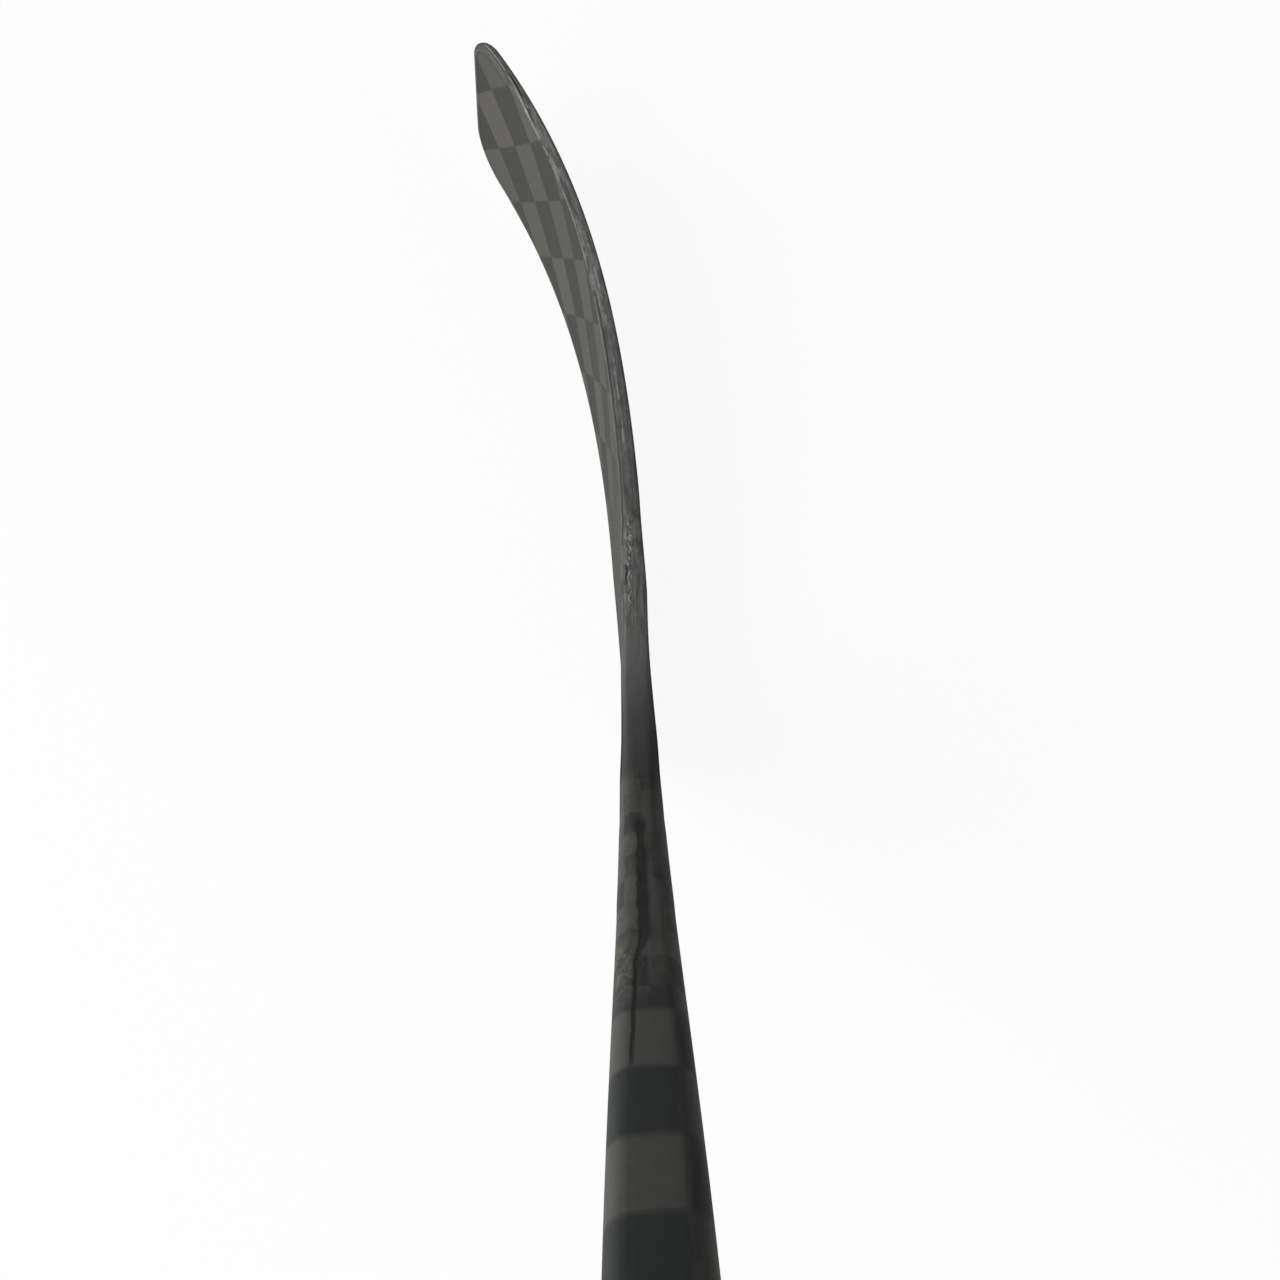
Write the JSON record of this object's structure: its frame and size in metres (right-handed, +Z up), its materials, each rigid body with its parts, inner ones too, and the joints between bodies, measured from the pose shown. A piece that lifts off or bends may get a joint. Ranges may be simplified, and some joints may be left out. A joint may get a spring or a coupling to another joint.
{
  "type": "ice hockey stick",
  "caption": "Bare carbon ice hockey stick with a tapered hollow shaft, a fused neck and a foam-cored blade with a toe curve to the forehand side.",
  "frame": {"origin": "on the shaft's axis, in the middle of the top hand's grip, 100 mm below the butt", "axes": "+X from heel to toe along the ice, +Y to the forehand side, +Z up, with the blade's sole flat on the ice"},
  "size_m": [1.3239, 0.0635, 1.1116],
  "materials": {
    "shaft_carbon": "satin",
    "plug_plastic": "matte",
    "wrap_carbon": "satin",
    "hosel_carbon": "satin",
    "blade_carbon": "satin",
    "edge_carbon": "satin",
    "core_foam": "matte"
  },
  "bodies": {
    "root": {"shaft_tube": "shaft_carbon", "end_plug": "plug_plastic", "fuse_wrap": "wrap_carbon", "blade_hosel": "hosel_carbon", "forehand_skin": "blade_carbon", "backhand_skin": "blade_carbon", "top_rail": "edge_carbon", "toe_rail": "edge_carbon", "sole_rail": "edge_carbon", "upper_core": "core_foam", "lower_core": "core_foam", "centre_rib": "blade_carbon"}
  },
  "joints": []
}
